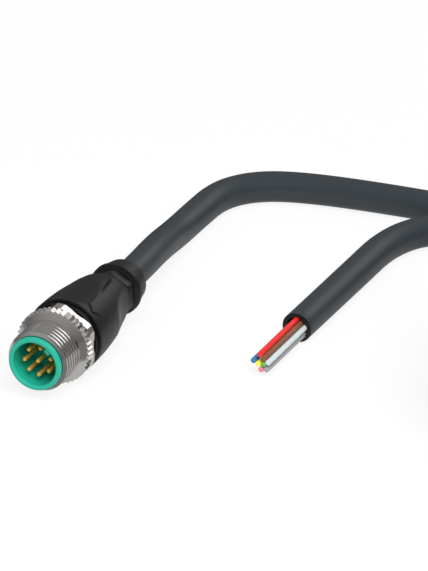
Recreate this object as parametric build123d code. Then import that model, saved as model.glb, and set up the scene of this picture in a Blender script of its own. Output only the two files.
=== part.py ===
from build123d import *
import math
import os

# A straight eight-pole M12 plug moulded onto a round cable. The cable lies on
# the same surface as the plug, is put away in a tied hank, and ends in eight
# bare cores. Millimetres. +Y runs from the mating face to the cable, +Z is up,
# and the origin is under the middle of the plug, on the surface it lies on.
# A depth is a distance behind the mating face, along +Y.

# Overall sizes of the plug
plug_length = 40.0
collar_diameter = 14.9
cable_diameter = 5.9

# Insulating insert: a skirt round the contacts and the carrier behind it
skirt_bore = 8.64
cavity_depth = 7.8
lip_diameter = 10.6
lip_length = 1.0
lip_rounding = 0.42
barrel_diameter = 9.7
flange_diameter = 11.6
flange_length = 1.2
carrier_back = 17.0
key_angle = 48.5
key_width = 1.1
key_height = 1.0
key_front = 0.6

# Contacts
contact_count = 8
contact_circle = 5.5
contact_angles = (30, 85, 135, 180, 225, 275, 330)
pin_diameter = 0.8
pin_tip_depth = 1.5
pin_tip_flat = 0.36
shank_diameter = 1.3
shank_inset = 1.5
cup_bore = 0.8
cup_bore_depth = 3.0
cup_back = 20.0

# Coupling screw
thread_diameter = 12.0
thread_end = 6.6
thread_chamfer = 0.6
undercut_diameter = 10.9
collar_front = 7.4
collar_front_diameter = 13.1
collar_chamfer = 0.9
collar_edge = 0.15
knurl_end = 10.1
collar_back = 12.0
across_flats = 13.5
knurl_teeth = 48
knurl_depth = 0.42
knurl_groove_share = 0.84
screw_counterbore = 11.6
counterbore_depth = 1.4
running_clearance = 0.08
end_play = 0.15

# Detent ring behind the screw
detent_ring_diameter = 14.0
detent_boss_diameter = 11.2
detent_boss_length = 1.0

# Grip with its strain relief
grip_front = 13.6
grip_front_diameter = 14.84
grip_curve_radius = 72.4
shoulder_depth = 31.0
neck_diameter = 8.5
neck_depth = 33.2
neck_corner = 0.55
ring_diameter = 10.4
ring_front = 35.2
ring_back = 36.4
ring_edge = 0.2
tail_diameter = 8.8
tail_edge = 0.3
pad_front = 15.2
pad_back = 29.0
pad_width = 7.4
pad_corner = 3.2
pad_front_corner = 1.0
pad_height = 6.75
pad_crown_radius = 11.0
pad_step = 0.25
side_scoop_start = 23.5
other_scoop_start = 27.0

# Inner mould round the contacts' cups and the cores
mould_front_diameter = 11.2
mould_shoulder = 20.5
mould_back_diameter = 7.6
mould_back = 27.0
jacket_start = 25.5

# Cores
core_diameter = 1.05
conductor_diameter = 0.55
lay_circle = 2.6
core_length = 16.3
core_colours = ("white", "brown", "green", "yellow", "grey", "pink", "blue", "red")
# Place of each bare core in the cable's end, across and up from its middle
core_places = {
    "white": (1.55, 0.22),
    "brown": (0.65, 0.89),
    "green": (0.60, -0.33),
    "yellow": (-0.47, -0.39),
    "grey": (1.25, -1.27),
    "pink": (0.14, -1.45),
    "blue": (-1.45, 0.10),
    "red": (-0.10, 1.65),
}

# Hank: loops of cable in two columns, an inner one and an outer one
hank_turns = 7.75
hank_columns = 2
hank_straight = 42.5
hank_inner_fold = 17.7
hank_height = 29.3
tie_thickness = 1.0
tie_width = 9.0
tie_place = -11.0

face_y = -plug_length / 2
axis_height = collar_diameter / 2
cable_height = cable_diameter / 2
plug_axis = Axis((0, face_y, axis_height), (0, 1, 0))
profile_plane = Plane(origin=(0, face_y, axis_height), x_dir=(1, 0, 0), z_dir=(0, 0, 1))


def turned(*edges):
    """A solid turned about the plug's axis from edges in (radius, depth)."""
    face = make_face(list(edges))
    return revolve(profile_plane * face, axis=plug_axis)


def turned_points(*points):
    """A solid turned from a closed outline of (radius, depth) points."""
    return turned(Polyline(*points, close=True))


def on_plug(across, depth, up):
    """A point given across, behind the face and above the plug's axis."""
    return Vector(across, face_y + depth, axis_height + up)


def round_bar(start, end, diameter):
    """A round bar between two points."""
    run = end - start
    plane = Plane(origin=start, z_dir=run)
    return extrude(plane * Circle(diameter / 2), amount=run.length)


def around(radius, angle):
    """Across and up, for a place on a circle about the plug's axis."""
    turn = math.radians(angle)
    return radius * math.cos(turn), radius * math.sin(turn)


def contact_places():
    """Across and up of each contact: seven on the circle, the last in the middle."""
    places = [around(contact_circle / 2, key_angle + angle) for angle in contact_angles]
    return places + [(0.0, 0.0)]


def contact(place):
    """A turned contact: round-nosed pin, thicker shank, and a cup for its core."""
    across, up = place
    pin = pin_diameter / 2
    tip = pin_tip_flat / 2
    shank = shank_diameter / 2
    shank_front = cavity_depth + shank_inset
    outline = [
        Line((0, pin_tip_depth), (tip, pin_tip_depth)),
        TangentArc((pin, pin_tip_depth + pin), (tip, pin_tip_depth), tangent=(0, -1)),
        Polyline(
            (pin, pin_tip_depth + pin),
            (pin, shank_front),
            (shank, shank_front),
            (shank, cup_back),
            (cup_bore / 2, cup_back),
            (cup_bore / 2, cup_back - cup_bore_depth),
            (0, cup_back - cup_bore_depth),
            (0, pin_tip_depth),
        ),
    ]
    return Pos(across, 0, up) * turned(*outline)


def carrier_skirt():
    """The insert's skirt round the contacts, with its front lip and its key."""
    bore = skirt_bore / 2
    lip = lip_diameter / 2
    barrel = barrel_diameter / 2
    skirt = turned_points(
        (bore, 0),
        (lip, 0),
        (lip, lip_length),
        (barrel, lip_length),
        (barrel, cavity_depth),
        (bore, cavity_depth),
    )
    rim = skirt.edges().filter_by(GeomType.CIRCLE)
    rim = rim.filter_by_position(Axis.Y, face_y - 0.01, face_y + 0.01)
    skirt = fillet(rim, lip_rounding)
    rooted = (lip - bore) / 3
    key = Box(
        key_height + rooted,
        cavity_depth - key_front,
        key_width,
        align=(Align.MAX, Align.MIN, Align.CENTER),
    )
    key = Pos(bore + rooted, face_y + key_front, 0) * key
    return skirt + Pos(0, 0, axis_height) * Rot(0, -key_angle, 0) * key


def contact_carrier():
    """The insert behind the skirt: the cavity's floor, the flange and the block."""
    barrel = barrel_diameter / 2
    flange = flange_diameter / 2
    body = turned_points(
        (0, cavity_depth),
        (barrel, cavity_depth),
        (barrel, grip_front),
        (flange, grip_front),
        (flange, grip_front + flange_length),
        (barrel, grip_front + flange_length),
        (barrel, carrier_back),
        (0, carrier_back),
    )
    for across, up in contact_places():
        for diameter, front, back in (
            (pin_diameter, cavity_depth - 0.1, carrier_back),
            (shank_diameter, cavity_depth + shank_inset, carrier_back + 0.1),
        ):
            body -= round_bar(on_plug(across, front, up), on_plug(across, back, up), diameter)
    return body


def coupling_screw():
    """The screw: chamfered thread barrel, undercut, knurled collar with six wrench flats."""
    bore = barrel_diameter / 2 + running_clearance
    front = lip_length + end_play
    thread = thread_diameter / 2
    collar = collar_diameter / 2
    counterbore = screw_counterbore / 2
    root = undercut_diameter / 2
    screw = turned_points(
        (bore, front),
        (thread - thread_chamfer, front),
        (thread, front + thread_chamfer),
        (thread, thread_end),
        (root, thread_end + (thread - root)),
        (root, collar_front),
        (collar_front_diameter / 2, collar_front),
        (collar, collar_front + collar_chamfer),
        (collar, collar_back - collar_edge),
        (collar - collar_edge, collar_back),
        (counterbore, collar_back),
        (counterbore, collar_back - counterbore_depth),
        (bore, collar_back - counterbore_depth),
    )
    groove_width = math.pi * collar_diameter / knurl_teeth * knurl_groove_share
    groove = Polyline(
        (collar + 0.05, -groove_width / 2),
        (collar + 0.05, groove_width / 2),
        (collar - knurl_depth, 0),
        close=True,
    )
    groove_plane = Plane(
        origin=(0, face_y + collar_front - 0.1, axis_height),
        x_dir=(1, 0, 0),
        z_dir=(0, 1, 0),
    )
    first_groove = extrude(groove_plane * make_face(groove), amount=knurl_end - collar_front + 0.1)
    grooves = [
        first_groove.rotate(plug_axis, 360 * (tooth + 0.5) / knurl_teeth)
        for tooth in range(knurl_teeth)
    ]
    screw -= grooves
    hexagon = RegularPolygon(across_flats / 2, 6, major_radius=False, rotation=30)
    blank = Circle(collar_diameter) - hexagon
    flats_plane = Plane(
        origin=(0, face_y + knurl_end, axis_height), x_dir=(1, 0, 0), z_dir=(0, 1, 0)
    )
    screw -= extrude(flats_plane * blank, amount=collar_back - knurl_end + 0.1)
    return screw


def detent_ring():
    """The black ring behind the screw, with a toothed boss in the screw's counterbore."""
    bore = barrel_diameter / 2
    boss_front = collar_back + end_play - detent_boss_length
    ring = turned_points(
        (bore, boss_front),
        (detent_boss_diameter / 2, boss_front),
        (detent_boss_diameter / 2, collar_back + end_play),
        (detent_ring_diameter / 2, collar_back + end_play),
        (detent_ring_diameter / 2, grip_front),
        (bore, grip_front),
    )
    return ring


def mould_blank():
    """The outer form of the inner mould, which the grip is moulded over."""
    front = grip_front + flange_length
    return turned_points(
        (0, front),
        (mould_front_diameter / 2, front),
        (mould_front_diameter / 2, mould_shoulder),
        (mould_back_diameter / 2, mould_back),
        (0, mould_back),
    )


def core_angle(index):
    """The angle of a core in the cable's end inside the plug."""
    return key_angle + (index + 0.5) * 360 / (contact_count - 1)


def inner_core(index):
    """One core from its contact's cup to the cable's end inside the plug."""
    across, up = contact_places()[index]
    start = on_plug(across, cup_back, up)
    if index < contact_count - 1:
        lay_across, lay_up = around(lay_circle / 2, core_angle(index))
    else:
        lay_across, lay_up = 0.0, 0.0
    end = on_plug(lay_across, jacket_start, lay_up)
    past = (end - start) * (core_diameter / (jacket_start - cup_back))
    core = round_bar(start - past, end + past, core_diameter)
    room = turned_points((0, cup_back), (12, cup_back), (12, jacket_start), (0, jacket_start))
    return core & room


def inner_mould(inner_cores):
    """The first mould round the contacts' cups, the cores and the jacket's end."""
    mould = mould_blank()
    mould -= turned_points(
        (0, grip_front),
        (barrel_diameter / 2, grip_front),
        (barrel_diameter / 2, carrier_back),
        (0, carrier_back),
    )
    mould -= turned_points(
        (0, jacket_start),
        (cable_diameter / 2, jacket_start),
        (cable_diameter / 2, mould_back),
        (0, mould_back),
    )
    for place in contact_places():
        across, up = place
        mould -= round_bar(
            on_plug(across, carrier_back - 0.1, up), on_plug(across, cup_back, up), shank_diameter
        )
    mould -= inner_cores
    return mould


def body_radius(depth):
    """The grip's radius on its long curve, at a depth."""
    drop = grip_curve_radius - math.sqrt(grip_curve_radius**2 - (depth - grip_front) ** 2)
    return grip_front_diameter / 2 - drop


def scoop(angle, start):
    """A cutter for one hollow of the neck, long in front and short behind."""
    neck = neck_diameter / 2
    deepest = (neck, neck_depth)
    mouth_front = (body_radius(start) + 0.2, start)
    mouth_back = (ring_diameter / 2 + 0.4, ring_front)
    profile = make_face(
        [
            TangentArc(deepest, mouth_front, tangent=(0, -1)),
            TangentArc(deepest, mouth_back, tangent=(0, 1)),
            Polyline(mouth_front, (12, start), (12, ring_front), mouth_back),
        ]
    )
    cutter = extrude(profile_plane * profile, amount=12, both=True)
    return cutter.rotate(plug_axis, -angle)


def grip():
    """The overmould: curved body, crowned pad on top, scooped neck, ring and tail."""
    front = grip_front_diameter / 2
    shoulder = (body_radius(shoulder_depth), shoulder_depth)
    ring = ring_diameter / 2
    tail = tail_diameter / 2
    drop_middle = grip_front + (shoulder_depth - grip_front) / 2
    body = turned(
        Line((0, grip_front), (front, grip_front)),
        ThreePointArc((front, grip_front), (body_radius(drop_middle), drop_middle), shoulder),
        Polyline(
            shoulder,
            (neck_diameter / 2 + neck_corner, neck_depth - neck_corner),
            (neck_diameter / 2 + neck_corner, neck_depth + neck_corner),
            (ring - ring_edge, ring_front),
            (ring, ring_front + ring_edge),
            (ring, ring_back - ring_edge),
            (ring - ring_edge, ring_back),
            (tail, plug_length - tail_edge),
            (tail - tail_edge, plug_length),
            (0, plug_length),
            (0, grip_front),
        ),
    )
    for angle in (0, 60, 120, 180, 240, 300):
        start = side_scoop_start if angle % 180 == 0 else other_scoop_start
        body -= scoop(angle, start)
    pad_length = pad_back - pad_front
    outline = Rectangle(pad_width, pad_length)
    outline = fillet(outline.vertices().group_by(Axis.Y)[-1], pad_corner)
    outline = fillet(outline.vertices().group_by(Axis.Y)[0], pad_front_corner)
    pad_plane = Plane(
        origin=on_plug(0, (pad_front + pad_back) / 2, 0), x_dir=(1, 0, 0), z_dir=(0, 0, 1)
    )
    zone = extrude(pad_plane * outline, amount=collar_diameter)
    crown_middle = on_plug(0, pad_front - 1, pad_height - pad_crown_radius)
    crown_plane = Plane(origin=crown_middle, x_dir=(1, 0, 0), z_dir=(0, 1, 0))
    crown = extrude(crown_plane * Circle(pad_crown_radius), amount=pad_length + 2)
    pad_middle = (pad_front + pad_back) / 2
    over_front, over_middle, over_back = (
        (body_radius(depth) + pad_step, depth) for depth in (pad_front, pad_middle, pad_back)
    )
    over_body = turned(
        Line((0, pad_front), over_front),
        ThreePointArc(over_front, over_middle, over_back),
        Polyline(over_back, (0, pad_back), (0, pad_front)),
    )
    body -= zone - crown
    body += zone & crown & over_body
    body -= mould_blank()
    body -= turned_points(
        (0, grip_front - 0.1),
        (flange_diameter / 2, grip_front - 0.1),
        (flange_diameter / 2, grip_front + flange_length),
        (0, grip_front + flange_length),
    )
    body -= turned_points(
        (0, mould_back - 0.1),
        (cable_diameter / 2, mould_back - 0.1),
        (cable_diameter / 2, plug_length + 0.1),
        (0, plug_length + 0.1),
    )
    return body


# Cable

cable_end = (33.8, 43.2 + face_y)
hank_middle = (95.0, 55.35 + face_y)

# The route from inside the grip to the hank: across, along and height
plug_route = (
    (0.0, face_y + jacket_start, axis_height),
    (0.0, 24.5, axis_height),
    (-1.6, 38.0, 5.7),
    (-3.8, 51.0, cable_height),
    (-3.7, 69.6, cable_height),
    (5.6, 78.6, cable_height),
    (22.0, 81.4, cable_height),
    (45.0, 82.6, cable_height),
    (68.0, 80.0, cable_height + 0.5),
    (92.0, 75.4, cable_height + 1.6),
)

# The route from the hank's outer column down to the bare end
open_route = (
    (76.0, 24.0, cable_height + 4.6),
    (71.6, 38.0, cable_height + 3.6),
    (67.4, 51.5, cable_height + 0.8),
    (65.6, 64.5, cable_height),
    (57.2, 74.6, cable_height),
    (43.4, 76.2, cable_height),
    (33.9, 67.2, cable_height),
    (33.8, 46.0, cable_height),
    (cable_end[0], cable_end[1], cable_height),
)


def rounded_tube(name, route):
    """A cable solid on straight runs joined by tangent arcs, as large as the runs allow."""
    points = [Vector(*point) for point in route]
    runs = [b - a for a, b in zip(points, points[1:])]
    radii = []
    for before, after in zip(runs, runs[1:]):
        turn = math.radians(before.get_angle(after))
        radii.append(0.45 * min(before.length, after.length) / math.tan(turn / 2))
    path = FilletPolyline(*points, radius=radii)
    section = Plane(origin=points[0], z_dir=runs[0]) * Circle(cable_diameter / 2)
    tube = sweep(section, path=path)
    area = math.pi * cable_diameter**2 / 4
    print(
        name,
        "length", round(path.length, 2),
        "volume / (section x length)", round(tube.volume / (area * path.length), 5),
        "radii", [round(radius, 1) for radius in radii],
    )
    return tube, path.length


def hank_plan(offset):
    """The outline of the hank's loops seen from above, an offset out from the inner column."""
    width = 2 * (hank_inner_fold + offset)
    slot = SlotCenterToCenter(hank_straight, width, rotation=90)
    return Pos(hank_middle[0], hank_middle[1], tie_thickness) * slot


def cable_hank():
    """One closed ring of the outer form of the hank's loops, in two columns."""
    outside = hank_plan((hank_columns - 0.5) * cable_diameter)
    inside = hank_plan(-cable_height)
    ring = extrude(outside, amount=hank_height) - extrude(inside, amount=hank_height)
    rims = ring.edges().group_by(Axis.Z)
    return fillet(rims[0] + rims[-1], cable_height - 0.1)


def hank_tie(side):
    """A strap round the bundle of loops on one straight of the hank."""
    width = hank_columns * cable_diameter
    middle = hank_inner_fold + (hank_columns - 1) * cable_height
    plane = Plane(
        origin=(
            hank_middle[0] + side * middle,
            hank_middle[1] + tie_place - tie_width / 2,
            tie_thickness + hank_height / 2,
        ),
        x_dir=(1, 0, 0),
        z_dir=(0, 1, 0),
    )
    corner = cable_height - 0.1
    outside = RectangleRounded(
        width + 2 * tie_thickness, hank_height + 2 * tie_thickness, corner + tie_thickness
    )
    band = outside - RectangleRounded(width, hank_height, corner)
    return extrude(plane * band, amount=tie_width)


def core(colour):
    """One bare core's insulation, from the cable's end to its cut tip."""
    across, up = core_places[colour]
    root = Vector(cable_end[0] + across, cable_end[1], cable_height + up)
    tip = root - Vector(0, core_length, 0)
    bar = round_bar(root, tip, core_diameter)
    return bar - round_bar(root, tip, conductor_diameter)


def conductors():
    """The copper strands of all eight cores, flush with their cut tips."""
    bars = []
    for across, up in core_places.values():
        root = Vector(cable_end[0] + across, cable_end[1], cable_height + up)
        bars.append(round_bar(root, root - Vector(0, core_length, 0), conductor_diameter))
    return Compound(bars)


# All the pieces, by node name

pieces = {}
contacts = [contact(place) for place in contact_places()]
inner_cores = [inner_core(index) for index in range(contact_count)]
pieces["carrier_skirt"] = carrier_skirt()
pieces["contact_carrier"] = contact_carrier()
pieces["coupling_screw"] = coupling_screw()
pieces["detent_ring"] = detent_ring()
pieces["inner_mould"] = inner_mould(inner_cores)
pieces["grip"] = grip()
for number, solid in enumerate(contacts, start=1):
    pieces[f"contact_{number}"] = solid
for colour, solid in zip(core_colours, inner_cores):
    pieces[f"inner_core_{colour}"] = solid

hank = cable_hank()
plug_side, plug_side_length = rounded_tube("plug side", plug_route)
open_side, open_side_length = rounded_tube("open side", open_route)
middle_fold = hank_inner_fold + (hank_columns - 1) * cable_height
hank_length = hank_turns * (2 * hank_straight + 2 * math.pi * middle_fold)
print("cable", round(plug_side_length + open_side_length + hank_length, 1))
pieces["cable_run_plug"] = plug_side - hank
pieces["cable_run_open"] = open_side - hank
pieces["cable_hank"] = hank
pieces["hank_tie_near"] = hank_tie(-1)
pieces["hank_tie_far"] = hank_tie(1)
for colour in core_colours:
    pieces[f"core_{colour}"] = core(colour)
pieces["core_conductors"] = conductors()

os.makedirs("parts", exist_ok=True)
for name, solid in pieces.items():
    export_step(solid, f"parts/{name}.step")
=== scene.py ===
import math

import bmesh
import bpy
from mathutils import Matrix, Vector


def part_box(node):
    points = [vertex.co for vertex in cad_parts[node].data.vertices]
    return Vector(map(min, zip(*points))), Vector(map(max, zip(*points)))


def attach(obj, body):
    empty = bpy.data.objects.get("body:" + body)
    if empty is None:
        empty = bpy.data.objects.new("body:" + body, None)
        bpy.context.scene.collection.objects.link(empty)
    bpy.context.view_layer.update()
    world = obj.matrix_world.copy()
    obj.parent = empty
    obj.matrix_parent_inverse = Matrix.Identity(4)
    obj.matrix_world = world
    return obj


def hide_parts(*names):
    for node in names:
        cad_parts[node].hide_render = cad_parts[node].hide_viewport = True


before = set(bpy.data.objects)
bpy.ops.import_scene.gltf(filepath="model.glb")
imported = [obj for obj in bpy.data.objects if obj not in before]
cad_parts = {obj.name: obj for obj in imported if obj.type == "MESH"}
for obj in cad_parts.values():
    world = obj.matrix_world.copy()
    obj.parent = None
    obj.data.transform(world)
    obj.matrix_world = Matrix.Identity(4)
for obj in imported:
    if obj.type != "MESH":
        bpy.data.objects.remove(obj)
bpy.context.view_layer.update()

bl_info = {
    "name": "Round cable plug with bare cores",
    "version": (1, 0, 0),
    "blender": (4, 5, 0),
    "location": "View3D > Sidebar > Cable plug",
    "description": "Builds a threaded round plug on its cable, with the bare cores and the stage",
    "category": "Object",
}

MM = 0.001

# The plug's axis runs along +Y. A depth is a distance behind its mating face,
# and an angle is taken about the axis, from +X towards +Z.
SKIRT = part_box("carrier_skirt")
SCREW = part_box("coupling_screw")
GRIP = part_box("grip")
FACE_Y = SKIRT[0].y
AXIS_HEIGHT = (SCREW[0].z + SCREW[1].z) / 2
SCREW_FRONT = SCREW[0].y - FACE_Y
SCREW_BACK = SCREW[1].y - FACE_Y
GRIP_FRONT = GRIP[0].y - FACE_Y
GRIP_BACK = GRIP[1].y - FACE_Y
CORE_NAMES = ("white", "brown", "green", "yellow", "grey", "pink", "blue", "red")

# The cable's route on the plug's side and on the open side, and the middle of the hank
# between them, in millimetres
PLUG_ROUTE = (
    (0.0, 5.5, 7.45),
    (0.0, 24.5, 7.45),
    (-1.85, 38.0, 6.0),
    (-4.05, 51.0, 2.95),
    (-4.0, 60.0, 2.95),
    (-3.7, 69.4, 2.95),
    (0.2, 75.6, 2.95),
    (7.4, 79.2, 2.95),
    (22.0, 81.4, 2.95),
    (45.0, 82.6, 2.95),
    (68.0, 79.6, 2.95),
    (84.0, 76.4, 2.95),
)
OPEN_ROUTE = (
    (71.3, 24.0, 4.9),
    (70.8, 38.0, 4.4),
    (67.4, 51.5, 3.4),
    (65.6, 64.5, 2.95),
    (57.2, 74.6, 2.95),
    (43.4, 76.2, 2.95),
    (34.1, 67.2, 2.95),
    (34.0, 46.0, 2.95),
    (33.8, 25.2, 2.95),
)
HANK_MIDDLE = (95.0, 35.35)


# Settings


def length_property(name, description, default):
    """A length in metres that the sidebar shows."""
    return bpy.props.FloatProperty(
        name=name,
        description=description,
        default=default,
        min=0.0,
        precision=5,
        unit="LENGTH",
        subtype="DISTANCE",
    )


def colour_property(name, description, default):
    """A colour that the sidebar shows."""
    return bpy.props.FloatVectorProperty(
        name=name,
        description=description,
        default=default,
        size=3,
        min=0.0,
        max=1.0,
        subtype="COLOR",
    )


def number_property(name, description, default, lowest=0.0, **options):
    """A number that the sidebar shows."""
    return bpy.props.FloatProperty(
        name=name, description=description, default=default, min=lowest, **options
    )


def count_property(name, description, default, least, most):
    """A whole number that the sidebar shows."""
    return bpy.props.IntProperty(
        name=name, description=description, default=default, min=least, max=most
    )


class ScrewSettings(bpy.types.PropertyGroup):
    thread_diameter: length_property("Thread diameter", "Across the thread's crests", 12.0 * MM)
    thread_pitch: length_property("Thread pitch", "From one crest to the next", 1.0 * MM)
    thread_depth: length_property("Thread depth", "From crest to root", 0.34 * MM)
    thread_chamfer: length_property("Thread chamfer", "Chamfer at the thread's front", 0.55 * MM)
    thread_end: length_property("Thread end", "Depth at which the thread has run out", 7.2 * MM)
    collar_front: length_property("Collar front", "Depth at which the collar starts", 7.25 * MM)
    collar_cone: length_property("Collar cone", "Length of the cone before the teeth", 1.1 * MM)
    collar_diameter: length_property("Collar diameter", "Across the tips of the teeth", 14.9 * MM)
    knurl_end: length_property("Knurl end", "Depth at which the teeth stop", 10.1 * MM)
    knurl_depth: length_property("Knurl depth", "Depth of a groove between teeth", 0.36 * MM)
    knurl_teeth: count_property("Teeth", "How many teeth go round the collar", 45, 12, 96)
    across_flats: length_property("Across flats", "Over two facing flats", 13.5 * MM)
    bore: length_property("Bore", "Diameter of the hole that turns on the insert", 9.86 * MM)
    counterbore: length_property("Counterbore", "Diameter of the recess at the back", 11.6 * MM)
    counterbore_depth: length_property("Counterbore depth", "Depth of that recess", 1.4 * MM)


class GripSettings(bpy.types.PropertyGroup):
    front_diameter: length_property("Front diameter", "Behind the screw", 14.84 * MM)
    curve_radius: length_property("Curve radius", "Radius of the long curve of the side", 72.4 * MM)
    shoulder: length_property("Shoulder", "Depth at which the long curve ends", 31.0 * MM)
    neck_diameter: length_property("Neck diameter", "Across two facing hollows", 8.5 * MM)
    neck_depth: length_property("Neck depth", "Depth of the narrowest place", 33.2 * MM)
    neck_corner: length_property("Neck corner", "How far a corner stands over a hollow", 0.36 * MM)
    neck_fillet: length_property("Neck fillet", "Radius where the neck meets the ring", 0.25 * MM)
    ring_diameter: length_property("Ring diameter", "Across the ring behind the neck", 10.4 * MM)
    ring_front: length_property("Ring front", "Depth at which the ring starts", 35.2 * MM)
    ring_back: length_property("Ring back", "Depth at which the ring ends", 36.4 * MM)
    tail_diameter: length_property("Tail diameter", "At the end, round the cable", 8.8 * MM)
    side_scoop: length_property("Side hollows", "Depth at which the two side ones start", 22.8 * MM)
    other_scoop: length_property("Other hollows", "Depth at which the other four start", 30.8 * MM)
    pad_width: length_property("Pad width", "Across the raised pad on top, at its front", 7.2 * MM)
    pad_front: length_property("Pad front", "Depth at which the pad starts", 15.2 * MM)
    pad_back: length_property("Pad back", "Depth at which the pad ends", 29.2 * MM)
    pad_corner: length_property("Pad corner", "Radius of the two rear corners", 0.9 * MM)
    pad_height: length_property("Pad height", "From the axis to the top of the pad", 6.75 * MM)
    pad_crown: length_property("Pad crown", "Radius of the pad's top across", 11.0 * MM)
    pad_step: length_property("Pad step", "How far the pad's back stands over the body", 0.25 * MM)
    pad_narrowing: number_property("Pad narrowing", "What each side draws in for its length", 0.176)
    narrowing_start: length_property("Narrowing start", "Depth at which that begins", 20.5 * MM)
    crease_depth: length_property("Crease depth", "Of the crease round the pad's rear", 0.30 * MM)
    mark_depth: length_property("Mark depth", "Of the arrow mark near the front edge", 0.26 * MM)


class CableSettings(bpy.types.PropertyGroup):
    diameter: length_property("Cable diameter", "Over the jacket", 5.9 * MM)
    length: length_property("Cable length", "From the grip to the bare cores", 2.0)
    jacket_wall: length_property("Jacket wall", "Thickness of the jacket at the cut end", 0.9 * MM)
    hank_inner: length_property("Inner fold", "Radius of the inner column's folds", 17.7 * MM)
    hank_outer: length_property("Outer fold", "Radius of the outer column's folds", 23.7 * MM)
    hank_straight: length_property("Straight", "Length of the hank's straight runs", 42.5 * MM)
    hank_top: length_property("Hank height", "Height of the topmost loop", 27.3 * MM)
    hank_loops: count_property("Whole loops", "Of the hank, in two columns", 7, 3, 12)


class ColourSettings(bpy.types.PropertyGroup):
    insert: colour_property("Insert", "Moulded insulating insert", (0.014, 0.40, 0.275))
    metal: colour_property("Metal", "Plated coupling screw", (0.64, 0.62, 0.60))
    gold: colour_property("Gold", "Plated contacts", (1.0, 0.54, 0.10))
    grip: colour_property("Grip", "Overmoulded grip", (0.003, 0.003, 0.0034))
    # Darker than the grip: the ring's own black, with painted shade for the gap behind the screw
    ring: colour_property("Ring", "Detent ring behind the screw", (0.002, 0.002, 0.002))
    mould: colour_property("Inner mould", "First mould, under the grip", (0.62, 0.60, 0.54))
    jacket: colour_property("Jacket", "Cable jacket", (0.030, 0.037, 0.043))
    # Darker than the jacket: painted shade on the cut face and in the sunk filler
    cut: colour_property("Cut jacket", "The jacket's cut face and filler", (0.009, 0.009, 0.010))
    core_white: colour_property("White core", "Core insulation", (0.60, 0.66, 0.67))
    core_brown: colour_property("Brown core", "Core insulation", (0.22, 0.085, 0.045))
    core_green: colour_property("Green core", "Core insulation", (0.12, 0.45, 0.06))
    core_yellow: colour_property("Yellow core", "Core insulation", (0.95, 0.82, 0.06))
    core_grey: colour_property("Grey core", "Core insulation", (0.34, 0.34, 0.36))
    core_pink: colour_property("Pink core", "Core insulation", (0.78, 0.22, 0.24))
    core_blue: colour_property("Blue core", "Core insulation", (0.035, 0.18, 0.42))
    core_red: colour_property("Red core", "Core insulation", (0.80, 0.02, 0.02))
    strap: colour_property("Strap", "Straps round the hank", (0.016, 0.016, 0.017))


class StageSettings(bpy.types.PropertyGroup):
    picture_height: length_property("Picture height", "What the camera frames", 105.74 * MM)
    lens: number_property("Lens", "Focal length of the camera, in millimetres", 900.0, lowest=50.0)
    sky_strength: number_property("Sky strength", "Even light from all sides", 0.45)
    key_power: number_property("Key power", "Power of the large lamp above", 6.5, unit="POWER")
    dome_strength: number_property("Dome strength", "How bright reflections show the dome", 0.25)
    floor_reflected: number_property("Floor reflected", "How bright reflections show the floor", 0.6)
    floor_shadow: number_property(
        "Floor shadow", "How much of it the camera sees", 0.14, max=1.0, subtype="FACTOR"
    )


class PlugSettings(bpy.types.PropertyGroup):
    screw: bpy.props.PointerProperty(type=ScrewSettings)
    grip: bpy.props.PointerProperty(type=GripSettings)
    cable: bpy.props.PointerProperty(type=CableSettings)
    colours: bpy.props.PointerProperty(type=ColourSettings)
    stage: bpy.props.PointerProperty(type=StageSettings)


# Mesh tools

WELD = 0.0002 * MM


def clamped(value):
    """A value held between 0 and 1."""
    return min(max(value, 0.0), 1.0)


def smooth_min(a, b, width):
    """The lesser of two lengths, rounded where they meet."""
    near = max(width - abs(a - b), 0.0) / width
    return min(a, b) - near * near * width / 4


def smooth_step(low, high, value):
    """A smooth change from 0 to 1 between two values."""
    share = clamped((value - low) / (high - low))
    return share * share * (3 - 2 * share)


def spread(low, high, count):
    """A number of even steps from low towards high, which isn't among them."""
    return [low + (high - low) * index / count for index in range(count)]


def along(low, high, step):
    """Places from low towards high, a step apart or a little less."""
    return spread(low, high, max(1, math.ceil((high - low) / step - 1e-9)))


def on_plug(radius, depth, angle=0.0):
    """A point at a radius, a depth and an angle about the plug's axis, in metres."""
    return Vector(
        (radius * math.cos(angle), FACE_Y + depth, AXIS_HEIGHT + radius * math.sin(angle))
    )


def turned_round(mesh, corners, edges, middle, segments):
    """Spins an outline once round a line along +Y through a middle."""
    bmesh.ops.spin(
        mesh,
        geom=corners + edges,
        cent=middle,
        axis=(0, 1, 0),
        angle=math.tau,
        steps=segments,
        use_merge=True,
    )


def spun(outline, segments):
    """A ring of mesh spun about the plug's axis from a closed outline.

    The outline holds (radius, depth, zone). The zone is kept on each vertex, so that
    a form that isn't round can be given to it afterwards.
    """
    mesh = bmesh.new()
    zone_layer = mesh.verts.layers.int.new("zone")
    corners = []
    for radius, depth, zone in outline:
        corner = mesh.verts.new(on_plug(radius, depth))
        corner[zone_layer] = zone
        corners.append(corner)
    edges = [mesh.edges.new(pair) for pair in zip(corners, corners[1:] + corners[:1])]
    turned_round(mesh, corners, edges, (0, 0, AXIS_HEIGHT), segments)
    return mesh, zone_layer


def moved_round(mesh, zone_layer, radius_of, angle_of):
    """Gives every vertex of a spun mesh its angle and its radius from where it is."""
    for vert in mesh.verts:
        across, up = vert.co.x, vert.co.z - AXIS_HEIGHT
        depth, zone = vert.co.y - FACE_Y, vert[zone_layer]
        angle = angle_of(math.atan2(up, across), zone)
        radius = radius_of(math.hypot(across, up), angle, depth, zone)
        vert.co = on_plug(radius, depth, angle)


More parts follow.
